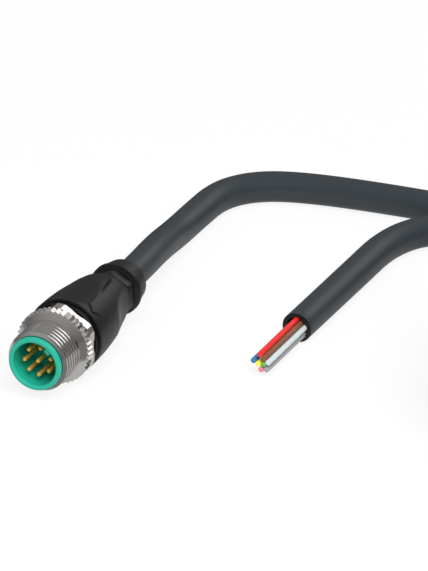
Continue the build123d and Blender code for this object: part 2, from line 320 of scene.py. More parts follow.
def finished(mesh, name, material, body, replaces=(), sharp=35.0):
    """Turns a bmesh into a piece that rides on a body of the frame."""
    bmesh.ops.remove_doubles(mesh, verts=mesh.verts, dist=WELD)
    bmesh.ops.recalc_face_normals(mesh, faces=mesh.faces)
    for face in mesh.faces:
        face.smooth = True
    limit = math.radians(sharp)
    for edge in mesh.edges:
        edge.smooth = edge.calc_face_angle(0.0) < limit
    data = bpy.data.meshes.new(name)
    mesh.to_mesh(data)
    mesh.free()
    data.materials.append(material)
    piece = bpy.data.objects.new(name, data)
    bpy.context.scene.collection.objects.link(piece)
    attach(piece, body)
    if replaces:
        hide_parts(*replaces)
    return piece


def dressed(node, material):
    """Gives a node of the frame its material."""
    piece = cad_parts[node]
    piece.data.materials.clear()
    piece.data.materials.append(material)
    return piece


# Material tools


def added(nodes, kind, place, **options):
    """A new node at a place in the editor, with its options."""
    node = nodes.new(kind)
    node.location = place
    for key, value in options.items():
        setattr(node, key, value)
    return node


def new_group(name, inputs, outputs):
    """An empty shader node group with number, colour and vector sockets."""
    group = bpy.data.node_groups.new(name, "ShaderNodeTree")
    kinds = {"value": "NodeSocketFloat", "colour": "NodeSocketColor", "vector": "NodeSocketVector"}
    for socket_name, kind, default in inputs:
        socket = group.interface.new_socket(socket_name, in_out="INPUT", socket_type=kinds[kind])
        if default is not None:
            socket.default_value = default
    for socket_name, kind in outputs:
        group.interface.new_socket(socket_name, in_out="OUTPUT", socket_type=kinds[kind])
    start = added(group.nodes, "NodeGroupInput", (-800, 0))
    end = added(group.nodes, "NodeGroupOutput", (500, 0))
    return group, start, end


def centred(group, noise, place):
    """A noise's value less one half, so that it varies about zero."""
    less = added(group.nodes, "ShaderNodeMath", place, operation="SUBTRACT")
    less.inputs[1].default_value = 0.5
    group.links.new(noise.outputs["Fac"], less.inputs[0])
    return less.outputs[0]


def shade_by(group, start, end, noise, amount):
    """Lets a noise make the group's colour lighter and darker by an amount."""
    shade = added(group.nodes, "ShaderNodeMath", (-200, 280), operation="MULTIPLY_ADD")
    shade.inputs[2].default_value = 1.0
    tint = added(group.nodes, "ShaderNodeVectorMath", (0, 280), operation="SCALE")
    group.links.new(centred(group, noise, (-380, 280)), shade.inputs[0])
    group.links.new(start.outputs[amount], shade.inputs[1])
    group.links.new(start.outputs["Colour"], tint.inputs[0])
    group.links.new(shade.outputs[0], tint.inputs["Scale"])
    group.links.new(tint.outputs[0], end.inputs["Colour"])


def sheen_by(group, start, end, noise):
    """Lets a noise make the group's roughness more and less by its spread."""
    sheen = added(group.nodes, "ShaderNodeMath", (-200, 80), operation="MULTIPLY_ADD")
    group.links.new(centred(group, noise, (-380, 80)), sheen.inputs[0])
    group.links.new(start.outputs["Roughness spread"], sheen.inputs[1])
    group.links.new(start.outputs["Roughness"], sheen.inputs[2])
    group.links.new(sheen.outputs[0], end.inputs["Roughness"])


def bump_by(group, start, end, noise, strength, distance):
    """Lets a noise raise the group's surface by a distance at full strength."""
    bump = added(group.nodes, "ShaderNodeBump", (-200, -160))
    bump.inputs["Distance"].default_value = distance
    group.links.new(noise.outputs["Fac"], bump.inputs["Height"])
    group.links.new(start.outputs[strength], bump.inputs["Strength"])
    group.links.new(bump.outputs["Normal"], end.inputs["Normal"])


def noise_node(group, vector, place, scale, detail):
    """Noise of a scale and a detail on a vector."""
    noise = added(group.nodes, "ShaderNodeTexNoise", place)
    noise.inputs["Scale"].default_value = scale
    noise.inputs["Detail"].default_value = detail
    group.links.new(vector, noise.inputs["Vector"])
    return noise


def fine_grain_group():
    """Moulding grain: a soft mottle of the colour, an uneven sheen and a fine bump."""
    name = "Fine grain"
    if name in bpy.data.node_groups:
        return bpy.data.node_groups[name]
    group, start, end = new_group(
        name,
        [
            ("Vector", "vector", None),
            ("Colour", "colour", (0.5, 0.5, 0.5, 1.0)),
            ("Mottle", "value", 0.1),
            ("Roughness", "value", 0.5),
            ("Roughness spread", "value", 0.1),
            ("Grain size", "value", 4000.0),
            ("Grain depth", "value", 0.1),
        ],
        [("Colour", "colour"), ("Roughness", "value"), ("Normal", "vector")],
    )
    vector = start.outputs["Vector"]
    cloud = noise_node(group, vector, (-560, 200), scale=260.0, detail=3.0)
    grain = noise_node(group, vector, (-560, -160), scale=4000.0, detail=2.0)
    group.links.new(start.outputs["Grain size"], grain.inputs["Scale"])
    shade_by(group, start, end, cloud, "Mottle")
    sheen_by(group, start, end, cloud)
    bump_by(group, start, end, grain, "Grain depth", 0.04 * MM)
    return group


def turning_marks_group():
    """The marks that a lathe leaves: fine rings about the plug's axis."""
    name = "Turning marks"
    if name in bpy.data.node_groups:
        return bpy.data.node_groups[name]
    group, start, end = new_group(
        name,
        [
            ("Vector", "vector", None),
            ("Colour", "colour", (0.6, 0.6, 0.6, 1.0)),
            ("Tarnish", "value", 0.1),
            ("Roughness", "value", 0.25),
            ("Roughness spread", "value", 0.1),
            ("Mark depth", "value", 0.1),
        ],
        [("Colour", "colour"), ("Roughness", "value"), ("Normal", "vector")],
    )
    vector = start.outputs["Vector"]
    stretch = added(group.nodes, "ShaderNodeVectorMath", (-600, 0), operation="MULTIPLY")
    stretch.inputs[1].default_value = (120.0, 9000.0, 120.0)
    group.links.new(vector, stretch.inputs[0])
    cloud = noise_node(group, vector, (-560, 260), scale=420.0, detail=4.0)
    rings = noise_node(group, stretch.outputs[0], (-420, 0), scale=1.0, detail=3.0)
    shade_by(group, start, end, cloud, "Tarnish")
    sheen_by(group, start, end, rings)
    bump_by(group, start, end, rings, "Mark depth", 0.02 * MM)
    return group


def surfaced(name, colour, group, values):
    """A material whose colour, roughness and normal come from a node group."""
    material = bpy.data.materials.new(name)
    material.use_nodes = True
    material.diffuse_color = (*colour, 1.0)
    nodes, links = material.node_tree.nodes, material.node_tree.links
    place = added(nodes, "ShaderNodeTexCoord", (-900, 0))
    surface = added(nodes, "ShaderNodeGroup", (-500, 0), node_tree=group)
    surface.inputs["Colour"].default_value = (*colour, 1.0)
    for socket_name, value in values.items():
        surface.inputs[socket_name].default_value = value
    shader = nodes["Principled BSDF"]
    links.new(place.outputs["Object"], surface.inputs["Vector"])
    links.new(surface.outputs["Colour"], shader.inputs["Base Color"])
    links.new(surface.outputs["Roughness"], shader.inputs["Roughness"])
    links.new(surface.outputs["Normal"], shader.inputs["Normal"])
    return material, shader


def plastic(
    name, colour, roughness, mottle, spread=0.12, grain=5000.0, depth=0.1, coat=0.0, specular=0.5
):
    """A moulded plastic or rubber with grain."""
    if name in bpy.data.materials:
        return bpy.data.materials[name]
    values = {
        "Mottle": mottle,
        "Roughness": roughness,
        "Roughness spread": spread,
        "Grain size": grain,
        "Grain depth": depth,
    }
    material, shader = surfaced(name, colour, fine_grain_group(), values)
    shader.inputs["Specular IOR Level"].default_value = specular
    shader.inputs["Coat Weight"].default_value = coat
    shader.inputs["Coat Roughness"].default_value = 0.12
    return material


def turned_metal(name, colour, roughness, tarnish=0.12, depth=0.12, metallic=1.0):
    """A turned and plated metal."""
    if name in bpy.data.materials:
        return bpy.data.materials[name]
    values = {
        "Tarnish": tarnish,
        "Roughness": roughness,
        "Roughness spread": 0.08,
        "Mark depth": depth,
    }
    material, shader = surfaced(name, colour, turning_marks_group(), values)
    shader.inputs["Metallic"].default_value = metallic
    return material


def insert_plastic(colours):
    """The insert's glossy plastic."""
    return plastic(
        "insert green", colours.insert, 0.30, mottle=0.08, spread=0.08, depth=0.04, coat=0.12
    )


def nickel(colours):
    """The screw's plating."""
    return turned_metal("plated nickel", colours.metal, 0.17)


def gold(colours):
    """The contacts' plating, part matt because they stand in a dark hollow."""
    return turned_metal(
        "plated gold", colours.gold, 0.28, tarnish=0.06, depth=0.05, metallic=0.5
    )


def grip_rubber(colours):
    """The grip's soft black moulding."""
    return plastic("grip black", colours.grip, 0.44, mottle=0.16, grain=6500.0, depth=0.16)


def ring_plastic_painted_shade(colours):
    """The detent ring's black plastic, made darker and duller than the grip as painted shade in the
    gap behind the screw.
    """
    return plastic(
        "ring black", colours.ring, 0.40, mottle=0.10, spread=0.10, depth=0.06, specular=0.15
    )


def mould_plastic(colours):
    """The pale plastic of the inner mould."""
    return plastic("natural mould", colours.mould, 0.5, mottle=0.12, depth=0.08)


def jacket_plastic(colours):
    """The cable's jacket."""
    return plastic(
        "cable jacket",
        colours.jacket,
        0.42,
        mottle=0.12,
        spread=0.10,
        grain=5200.0,
        depth=0.12,
        specular=0.4,
    )


def cut_plastic_painted_shade(colours):
    """The jacket's cut face and the filler inside it, coloured darker than the jacket as painted
    shade.
    """
    return plastic("cut jacket", colours.cut, 0.5, mottle=0.1, specular=0.3)


def core_plastic(colours, name):
    """The smooth insulation of one core."""
    colour = getattr(colours, f"core_{name}")
    return plastic(f"core {name}", colour, 0.36, mottle=0.0, spread=0.03, depth=0.0)


def strap_plastic(colours):
    """The straps round the hank."""
    return plastic("tie strap", colours.strap, 0.55, mottle=0.15, depth=0.3)


# Coupling screw

PLAIN, THREAD, KNURL, FLATS = range(4)
THREAD_RINGS = 18
CONE_RINGS = 14
SCREW_EDGE = 0.12 * MM
FLATS_EDGE = 0.15 * MM
TEETH_EDGE = 0.06 * MM

# In shares of the pitch: half a groove's width, the width of its flank, and how far the
# last groove's middle stays in front of the thread's end. That groove runs out over a
# quarter of a turn, about an angle on the underside.
GROOVE_HALF = 0.30
GROOVE_FLANK = 0.19
GROOVE_END = 0.35
OUT_TURN = 0.25
OUT_ANGLE = math.radians(-131.0)

# In shares of a tooth: half the width of its tip and of its root, and the root's place
# between two tips. The first tip stands at an angle.
TOOTH_LAND = 0.01
TOOTH_ROOT = 0.33
TOOTH_ANGLE = math.radians(6.2)


def screw_outline(sizes):
    """The screw's closed outline: bore, thread, cone, teeth, flats, recess."""
    bore = sizes.bore / 2
    crest = sizes.thread_diameter / 2
    collar = sizes.collar_diameter / 2
    recess = sizes.counterbore / 2
    recess_floor = SCREW_BACK - sizes.counterbore_depth
    outline = [(bore + SCREW_EDGE, SCREW_FRONT, PLAIN)]
    depths = along(SCREW_FRONT, sizes.thread_end, sizes.thread_pitch / THREAD_RINGS)
    outline += [(crest, depth, THREAD) for depth in (*depths, sizes.thread_end)]
    for step in range(CONE_RINGS + 1):
        part = step / CONE_RINGS
        depth = sizes.collar_front + sizes.collar_cone * part
        outline.append((crest + (collar - crest) * part, depth, KNURL))
    outline += [
        (collar, sizes.knurl_end - TEETH_EDGE, KNURL),
        (collar, sizes.knurl_end, FLATS),
        (collar, SCREW_BACK - FLATS_EDGE, FLATS),
        (collar - FLATS_EDGE, SCREW_BACK, FLATS),
        (recess + SCREW_EDGE, SCREW_BACK, PLAIN),
        (recess, SCREW_BACK - SCREW_EDGE, PLAIN),
        (recess, recess_floor, PLAIN),
        (bore, recess_floor, PLAIN),
        (bore, SCREW_FRONT + SCREW_EDGE, PLAIN),
    ]
    return outline


def thread_radius(sizes, angle, depth):
    """The thread's radius: a right-handed helix of 60 degree ridges behind a chamfer."""
    crest = sizes.thread_diameter / 2
    turns = (sizes.thread_end - depth) / sizes.thread_pitch - GROOVE_END
    off_groove = turns - (angle - OUT_ANGLE) / math.tau
    off_groove -= round(off_groove)
    groove = clamped((GROOVE_HALF - abs(off_groove)) / GROOVE_FLANK)
    run_out = clamped((turns - off_groove) / OUT_TURN + 0.5)
    chamfer = crest - sizes.thread_chamfer + (depth - SCREW_FRONT)
    return min(crest - sizes.thread_depth * groove * run_out, chamfer)


def tooth_groove(part):
    """How deep the groove is, from 0 to 1, at a share of the way from one tip to the next."""
    if part < TOOTH_ROOT:
        return clamped((part - TOOTH_LAND) / (TOOTH_ROOT - 2 * TOOTH_LAND))
    return clamped((1 - TOOTH_LAND - part) / (1 - TOOTH_ROOT - 2 * TOOTH_LAND))


def coupling_screw(sizes, material):
    """The screw with its real thread, its slanted teeth and its six wrench flats."""
    mesh, zone_layer = spun(screw_outline(sizes), 4 * sizes.knurl_teeth)
    tooth = math.tau / sizes.knurl_teeth
    places = (-TOOTH_LAND, TOOTH_LAND, TOOTH_ROOT - TOOTH_LAND, TOOTH_ROOT + TOOTH_LAND)
    collar = sizes.collar_diameter / 2

    def angle_of(angle, zone):
        if zone != KNURL:
            return angle
        quarter = round((angle - TOOTH_ANGLE) / tooth * 4)
        return (quarter // 4 + places[quarter % 4]) * tooth + TOOTH_ANGLE

    def radius_of(radius, angle, depth, zone):
        if zone == THREAD:
            return thread_radius(sizes, angle, depth)
        if zone == KNURL:
            part = (angle - TOOTH_ANGLE) / tooth % 1.0
            return min(radius, collar - sizes.knurl_depth * tooth_groove(part))
        if zone == FLATS:
            off_flat = (angle + math.pi / 6) % (math.pi / 3) - math.pi / 6
            return min(radius, sizes.across_flats / 2 / math.cos(off_flat))
        return radius

    moved_round(mesh, zone_layer, radius_of, angle_of)
    return finished(
        mesh, "threaded_screw", material, "screw", ["coupling_screw"], sharp=22.0
    )


# Grip

INSIDE, OUTSIDE = 0, 1
GRIP_SEGMENTS = 288

# Edges and corners, the gap round the jacket and the cavity for the inner mould
FRONT_EDGE = 0.15 * MM
RING_EDGE = 0.2 * MM
RING_FOOT = 0.08 * MM
TAIL_EDGE = 0.3 * MM
PAD_FRONT_CORNER = 1.0 * MM
JACKET_GAP = 0.02 * MM
CAVITY_DIAMETER = 11.68 * MM

# How softly the side hollows, the other hollows and the pad run into the body
SIDE_SOFTNESS = 0.75 * MM
OTHER_SOFTNESS = 0.4 * MM
PAD_SOFTNESS = 0.3 * MM

# How far round and beyond their edges the hollows and the pad are worked out
HOLLOW_REACH = math.radians(75)
HOLLOW_MARGIN = 0.2 * MM
PAD_MARGIN = 0.5 * MM

# The arrow mark's corner and the ends of its two strokes: angle in degrees, depth in millimetres
MARK_CORNER = (47.5, 14.65)
MARK_ENDS = ((58.8, 15.95), (36.5, 15.85))
MARK_BACK = 16.5 * MM


def body_radius(sizes, depth):
    """The grip's radius on its long side curve."""
    reach = depth - GRIP_FRONT
    drop = sizes.curve_radius - math.sqrt(sizes.curve_radius**2 - reach**2)
    return sizes.front_diameter / 2 - drop


def blank_radius(sizes, depth):
    """The grip's radius before its hollows and its pad are made."""
    ring = sizes.ring_diameter / 2
    tail = sizes.tail_diameter / 2
    corner = sizes.neck_diameter / 2 + sizes.neck_corner
    if depth <= GRIP_FRONT + FRONT_EDGE:
        return body_radius(sizes, depth) - FRONT_EDGE + (depth - GRIP_FRONT)
    if depth <= sizes.shoulder:
        return body_radius(sizes, depth)
    knees = (
        (sizes.shoulder, body_radius(sizes, sizes.shoulder)),
        (sizes.neck_depth - sizes.neck_corner, corner),
        (sizes.ring_front - sizes.neck_fillet, corner),
        (sizes.ring_front - RING_FOOT, corner + RING_FOOT),
        (sizes.ring_front, ring - RING_EDGE),
        (sizes.ring_front + RING_EDGE, ring),
        (sizes.ring_back - RING_EDGE, ring),
        (sizes.ring_back, ring - RING_EDGE),
        (GRIP_BACK - TAIL_EDGE, tail),
        (GRIP_BACK, tail - TAIL_EDGE),
    )
    for (low, start), (high, end) in zip(knees, knees[1:]):
        if depth <= high:
            return start + (end - start) * (depth - low) / (high - low)
    return tail - TAIL_EDGE


def hollow_height(sizes, depth, start):
    """How far from the axis a hollow's floor lies, or None outside the hollow."""
    neck = sizes.neck_diameter / 2
    if depth <= sizes.neck_depth:
        rise = body_radius(sizes, start) + HOLLOW_MARGIN - neck
        reach = sizes.neck_depth - start
        away = sizes.neck_depth - depth
    else:
        reach = rise = sizes.neck_fillet
        away = max(depth - sizes.ring_front + reach, 0.0)
    if away >= reach:
        return None
    arc = (rise**2 + reach**2) / (2 * rise)
    return neck + arc - math.sqrt(arc**2 - away**2)


def with_hollows(sizes, radius, angle, depth):
    """A radius with the six hollows cut, the two at the sides longer than the others."""
    for number in range(6):
        side = number % 3 == 0
        off_hollow = math.remainder(angle - number * math.pi / 3, math.tau)
        height = hollow_height(sizes, depth, sizes.side_scoop if side else sizes.other_scoop)
        if height is None or abs(off_hollow) > HOLLOW_REACH:
            continue
        soft = SIDE_SOFTNESS if side and depth < sizes.neck_depth else OTHER_SOFTNESS
        radius = smooth_min(radius, height / math.cos(off_hollow), soft)
    return radius


def pad_distance(sizes, across, depth):
    """Signed distance from the pad's outline, below zero inside it."""
    middle = (sizes.pad_front + sizes.pad_back) / 2
    corner = sizes.pad_corner if depth > middle else PAD_FRONT_CORNER
    narrowing = sizes.pad_narrowing * max(depth - sizes.narrowing_start, 0.0)
    x = abs(across) - sizes.pad_width / 2 + narrowing + corner
    y = abs(depth - middle) - (sizes.pad_back - sizes.pad_front) / 2 + corner
    return math.hypot(max(x, 0.0), max(y, 0.0)) + min(max(x, y), 0.0) - corner


def with_pad(sizes, radius, angle, depth):
    """A radius with the crowned pad on top and the crease round the pad's rear part."""
    near_pad = sizes.pad_front - PAD_MARGIN < depth < sizes.pad_back + PAD_MARGIN
    if not near_pad or math.sin(angle) <= 0.5:
        return radius
    centre = sizes.pad_height - sizes.pad_crown
    lift = centre * math.sin(angle)
    top = lift + math.sqrt(lift**2 - centre**2 + sizes.pad_crown**2)
    top = smooth_min(top, body_radius(sizes, depth) + sizes.pad_step, PAD_SOFTNESS)
    inside = -pad_distance(sizes, top * math.cos(angle), depth)
    crease = smooth_step(-0.50 * MM, -0.12 * MM, inside) * smooth_step(20 * MM, 27 * MM, depth)
    radius -= sizes.crease_depth * crease
    return radius + (top - radius) * smooth_step(-0.10 * MM, 0.10 * MM, inside)


def mark_distance(sizes, angle, depth):
    """Distance from the two strokes of the arrow mark near the grip's front edge."""

    def flat_place(degrees, millimetres):
        return Vector((math.radians(degrees) * sizes.front_diameter / 2, millimetres * MM))

    corner = flat_place(*MARK_CORNER)
    here = Vector((angle * sizes.front_diameter / 2, depth)) - corner
    nearest = []
    for end in MARK_ENDS:
        stroke = flat_place(*end) - corner
        nearest.append((here - stroke * clamped(here.dot(stroke) / stroke.length_squared)).length)
    return min(nearest)


def with_mark(sizes, radius, angle, depth):
    """A radius with the arrow mark's grooves sunk."""
    if depth >= MARK_BACK:
        return radius
    groove = 1 - smooth_step(0.10 * MM, 0.27 * MM, mark_distance(sizes, angle, depth))
    return radius - sizes.mark_depth * groove


def moulded_grip(sizes, cable, material):
    """The overmoulded grip with its pad, hollows, neck, ring and tail."""
    # The mesh is finer at the arrow mark, at the pad's back and from the neck to the tail
    depths = (
        along(GRIP_FRONT, GRIP_FRONT + 0.3 * MM, 0.075 * MM)
        + along(GRIP_FRONT + 0.3 * MM, 14.4 * MM, 0.2 * MM)
        + along(14.4 * MM, 16.3 * MM, 0.07 * MM)
        + along(16.3 * MM, 25.6 * MM, 0.2 * MM)
        + along(25.6 * MM, 29.8 * MM, 0.09 * MM)
        + along(29.8 * MM, GRIP_BACK, 0.11 * MM)
        + [GRIP_BACK]
    )
    hole = cable.diameter / 2 + JACKET_GAP
    cavity = CAVITY_DIAMETER / 2
    outline = [(blank_radius(sizes, depth), depth, OUTSIDE) for depth in depths]
    outline += [
        (cable.diameter / 2 + 0.15 * MM, GRIP_BACK, INSIDE),
        (hole, GRIP_BACK - 0.2 * MM, INSIDE),
        (hole, 27.0 * MM, INSIDE),
        (cavity - 2.0 * MM, 27.0 * MM, INSIDE),
        (cavity - 0.2 * MM, 20.5 * MM, INSIDE),
        (cavity, 14.8 * MM, INSIDE),
        (cavity, GRIP_FRONT, INSIDE),
    ]
    mesh, zone_layer = spun(outline, GRIP_SEGMENTS)

    def angle_of(angle, zone):
        # Closer together at the top, where the pad and the mark are
        return angle + 0.35 * math.cos(angle)

    def radius_of(radius, angle, depth, zone):
        if zone == INSIDE:
            return radius
        for with_form in (with_hollows, with_pad, with_mark):
            radius = with_form(sizes, radius, angle, depth)
        return radius

    moved_round(mesh, zone_layer, radius_of, angle_of)
    return finished(mesh, "moulded_grip", material, "plug", ["grip"], sharp=50.0)


# Cable

# Share of a loop in which the hank goes from its inner to its outer column, and the
# height at which the cable leaves it
COLUMN_CHANGE = 0.2
HANK_LEAVES = 5.2 * MM

# At the cut end
JACKET_EDGE = 0.10 * MM
FILLER_SINK = 1.0 * MM
CORE_CHAMFER = 0.05 * MM


def fold_length(cable):
    """The length of a fold half way between the hank's two columns."""
    return math.pi * (cable.hank_inner + cable.hank_outer) / 2


def loop_place(cable, done, radius):
    """Where the cable lies when some of the hank's loops are done, from its far fold on."""
    straight, fold = cable.hank_straight, fold_length(cable)
    run = (done % 1.0) * 2 * (straight + fold)
    # A quadratic curve runs a little inside its points, so a fold's points stand out
    arc = radius / (0.75 + 0.25 * math.cos(math.pi / 8))
    if run < fold / 2 or run > 1.5 * fold + 2 * straight:
        angle = math.pi / 2 - math.pi * run / fold
        if run > fold:
            angle = math.pi / 2 + math.pi * (2 * (straight + fold) - run) / fold
        x, y = arc * math.cos(angle), straight / 2 + arc * math.sin(angle)
    elif run < fold / 2 + straight:
        x, y = radius, straight / 2 - (run - fold / 2)
    elif run < 1.5 * fold + straight:
        angle = -math.pi * (run - fold / 2 - straight) / fold
        x, y = arc * math.cos(angle), arc * math.sin(angle) - straight / 2
    else:
        x, y = -radius, run - 1.5 * fold - straight - straight / 2
    return HANK_MIDDLE[0] * MM + x, HANK_MIDDLE[1] * MM + y


def hank_points(cable):
    """The hank's points: up its inner column of loops, then down its outer one."""
    straight, fold = cable.hank_straight, fold_length(cable)
    loop = 2 * (straight + fold)
    # Half a fold, a straight run, a fold, a straight run and half a fold
    bounds = (0.0, fold / 2, fold / 2 + straight, 1.5 * fold + straight, loop - fold / 2, loop)
    stations = []
    for low, high, count in zip(bounds, bounds[1:], (4, 3, 8, 3, 4)):
        stations += spread(low, high, count)
    places = [
        whole + run / loop for whole in range(cable.hank_loops + 1) for run in stations
    ]
    last = cable.hank_loops + (1.5 * fold + straight) / loop
    low, high = cable.diameter / 2, cable.hank_top
    middle = (cable.hank_loops + 1) / 2
    change = middle - 0.75 * COLUMN_CHANGE
    points = []
    for done in places:
        if done > last + 0.001:
            break
        outwards = smooth_step(change, change + COLUMN_CHANGE, done)
        radius = cable.hank_inner + (cable.hank_outer - cable.hank_inner) * outwards
        if done < change:
            height = low + (high - low) * done / change
        else:
            height = high - (high - HANK_LEAVES) * max(done - middle, 0.0) / (last - middle)
        points.append((*loop_place(cable, done, radius), height))
    return points


def in_metres(route):
    """The points of a route that is written in millimetres."""
    return [tuple(value * MM for value in point) for point in route]


def cable_curve(cable, material):
    """The whole cable on one smooth line, from inside the grip to the cut end."""
    points = in_metres(PLUG_ROUTE) + hank_points(cable) + in_metres(OPEN_ROUTE)
    curve = bpy.data.curves.new("cable", "CURVE")
    curve.dimensions = "3D"
    line = curve.splines.new("NURBS")
    line.points.add(len(points) - 1)
    for control, point in zip(line.points, points):
        control.co = (*point, 1.0)
    line.order_u = 3
    line.use_endpoint_u = True
    line.resolution_u = 10
    curve.resolution_u = 10
    curve.bevel_depth = cable.diameter / 2
    curve.bevel_resolution = 14
    curve.use_fill_caps = True
    curve.materials.append(material)
    piece = bpy.data.objects.new("cable", curve)
    bpy.context.scene.collection.objects.link(piece)
    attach(piece, "plug")
    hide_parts("cable_run_plug", "cable_hank", "cable_run_open")
    return piece


def jacket_end(cable, material, cut):
    """The jacket's cut end: a wall with a soft edge round a sunk filler, both darker as painted
    shade.
    """
    end_x, back_y, end_z = in_metres(OPEN_ROUTE)[-1]
    front_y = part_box("cable_run_open")[0].y
    outer = cable.diameter / 2
    inner = outer - cable.jacket_wall
    outline = (
        (0.0, back_y),
        (outer, back_y),
        (outer, front_y + JACKET_EDGE),
        (outer - 0.3 * JACKET_EDGE, front_y + 0.3 * JACKET_EDGE),
        (outer - JACKET_EDGE, front_y),
        (inner + JACKET_EDGE / 2, front_y),
        (inner, front_y + JACKET_EDGE / 2),
        (inner, front_y + FILLER_SINK),
        (0.0, front_y + FILLER_SINK),
    )
    mesh = bmesh.new()
    corners = [mesh.verts.new((end_x + radius, depth, end_z)) for radius, depth in outline]
    edges = [mesh.edges.new(pair) for pair in zip(corners, corners[1:])]
    turned_round(mesh, corners, edges, (end_x, 0, end_z), 96)
    piece = finished(mesh, "jacket_end", material, "plug", sharp=40.0)
    # The cut face and the filler take the darker cut colour, which is painted shade
    piece.data.materials.append(cut)
    for face in piece.data.polygons:
        off_axis = math.hypot(face.center.x - end_x, face.center.z - end_z)
        face.material_index = int(off_axis < outer - 0.6 * JACKET_EDGE)
    return piece


def core_bar(name, material):
    """One core from inside the jacket's end to its plain cut tip."""
    low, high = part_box(f"core_{name}")
    radius = (high.x - low.x) / 2
    back = high.y + FILLER_SINK
    front = low.y - CORE_CHAMFER
    middle = ((low.x + high.x) / 2, (front + back) / 2, (low.z + high.z) / 2)
    mesh = bmesh.new()
    bmesh.ops.create_cone(
        mesh,
        cap_ends=True,
        segments=48,
        radius1=radius,
        radius2=radius,
        depth=back - front,
        matrix=Matrix.Translation(middle) @ Matrix.Rotation(math.pi / 2, 4, "X"),
    )
    rim = [
        edge
        for edge in mesh.edges
        if all(abs(vert.co.y - front) < 1e-6 for vert in edge.verts)
    ]
    bmesh.ops.bevel(
        mesh,
        geom=rim,
        offset=CORE_CHAMFER,
        affect="EDGES",
        segments=2,
        profile=0.5,
        material=-1,
    )
    replaces = [f"core_{name}"] + (["core_conductors"] if name == "red" else [])
    return finished(
        mesh, f"bare_core_{name}", material, "plug", replaces, sharp=60.0
    )


# Stage

# The camera's right and backward directions, and the point that it looks at, in metres
CAMERA_RIGHT = Vector((0.9078, 0.4195, 0.0)).normalized()
CAMERA_BACK = Vector((0.3780, -0.8180, 0.4337))
CAMERA_AIM = Vector((0.0276, -0.0002, 0.0207))
CARD_LIFT = 0.2 * MM
FLOOR_SINK = 0.05 * MM


def lamp(name, place, aim, size, power):
    """A rectangular area lamp that points at a place."""
    light = bpy.data.lights.new(name, "AREA")
    light.shape = "RECTANGLE"
    light.size, light.size_y = size
    light.energy = power
    piece = bpy.data.objects.new(name, light)
    piece.location = place
    piece.rotation_euler = (Vector(aim) - Vector(place)).to_track_quat("-Z", "Y").to_euler()
    bpy.context.scene.collection.objects.link(piece)
    return piece


def stage_piece(name, mesh, material):
    """Turns a bmesh into a piece of the stage."""
    data = bpy.data.meshes.new(name)
    mesh.to_mesh(data)
    mesh.free()
    data.materials.append(material)
    piece = bpy.data.objects.new(name, data)
    bpy.context.scene.collection.objects.link(piece)
    return piece


def empty_nodes(owner):
    """The cleared nodes and links of a new material or world."""
    owner.use_nodes = True
    owner.node_tree.nodes.clear()
    return owner.node_tree.nodes, owner.node_tree.links


def level_node(nodes, low, high):
    """A node that turns a value from 0 to 1 into a value from low to high."""
    level = nodes.new("ShaderNodeMapRange")
    level.inputs["To Min"].default_value = low
    level.inputs["To Max"].default_value = high
    return level


def reflected_card(name, mesh, strength, top_strength=None):
    """A card that only shows in reflections, and gives no light of its own.

    Where it has a top strength, its brightness changes from the floor to 1 m up.
    """
    material = bpy.data.materials.new(name)
    nodes, links = empty_nodes(material)
    out = nodes.new("ShaderNodeOutputMaterial")
    glow = nodes.new("ShaderNodeEmission")
    glow.inputs["Color"].default_value = (1.0, 1.0, 1.0, 1.0)
    glow.inputs["Strength"].default_value = strength
    links.new(glow.outputs[0], out.inputs["Surface"])
    if top_strength is not None:
        place = nodes.new("ShaderNodeTexCoord")
        split = nodes.new("ShaderNodeSeparateXYZ")
        level = level_node(nodes, strength, top_strength)
        links.new(place.outputs["Object"], split.inputs[0])
        links.new(split.outputs["Z"], level.inputs["Value"])
        links.new(level.outputs["Result"], glow.inputs["Strength"])
    card = stage_piece(name, mesh, material)
    card.visible_camera = False
    card.visible_diffuse = False
    card.visible_shadow = False
    card.visible_transmission = False
    return card


def grey_dome(strength):
    """A grey dome above the horizon, brighter towards its top, that metal and gloss mirror."""
    mesh = bmesh.new()
    bmesh.ops.create_uvsphere(mesh, u_segments=48, v_segments=24, radius=1.2)
    low = [vert for vert in mesh.verts if vert.co.z < -1.0 * MM]
    bmesh.ops.delete(mesh, geom=low, context="VERTS")
    return reflected_card("grey dome", mesh, 0.55 * strength, 1.70 * strength)


def floor_card(name, low, high, strength):
    """A grey card on the floor between two corners, for the faces that mirror the floor."""
    mesh = bmesh.new()
    places = ((low[0], low[1]), (high[0], low[1]), (high[0], high[1]), (low[0], high[1]))
    mesh.faces.new([mesh.verts.new((x, y, CARD_LIFT)) for x, y in places])
    return reflected_card(name, mesh, strength)


def softbox(name, heading, height, size, strength):
    """A bright card inside the dome, at a heading from +Y towards +X and a height in degrees."""
    heading, height = math.radians(heading), math.radians(height)
    level = math.cos(height)
    towards = Vector((math.sin(heading) * level, math.cos(heading) * level, math.sin(height)))
    mesh = bmesh.new()
    bmesh.ops.create_grid(mesh, x_segments=1, y_segments=1, size=0.5)
    bmesh.ops.scale(mesh, vec=(*size, 1.0), verts=mesh.verts)
    turn = towards.to_track_quat("Z", "Y").to_matrix().to_4x4()
    bmesh.ops.transform(mesh, matrix=Matrix.Translation(towards) @ turn, verts=mesh.verts)
    return reflected_card(name, mesh, strength)


def seen_rays(nodes, links):
    """One where a ray comes from the camera, a reflection or a clear body, else zero."""
    path = nodes.new("ShaderNodeLightPath")
    seen = path.outputs["Is Camera Ray"]
    for kind in ("Is Glossy Ray", "Is Transmission Ray"):
        either = nodes.new("ShaderNodeMath")
        either.operation = "MAXIMUM"
        links.new(seen, either.inputs[0])
        links.new(path.outputs[kind], either.inputs[1])
        seen = either.outputs[0]
    return seen


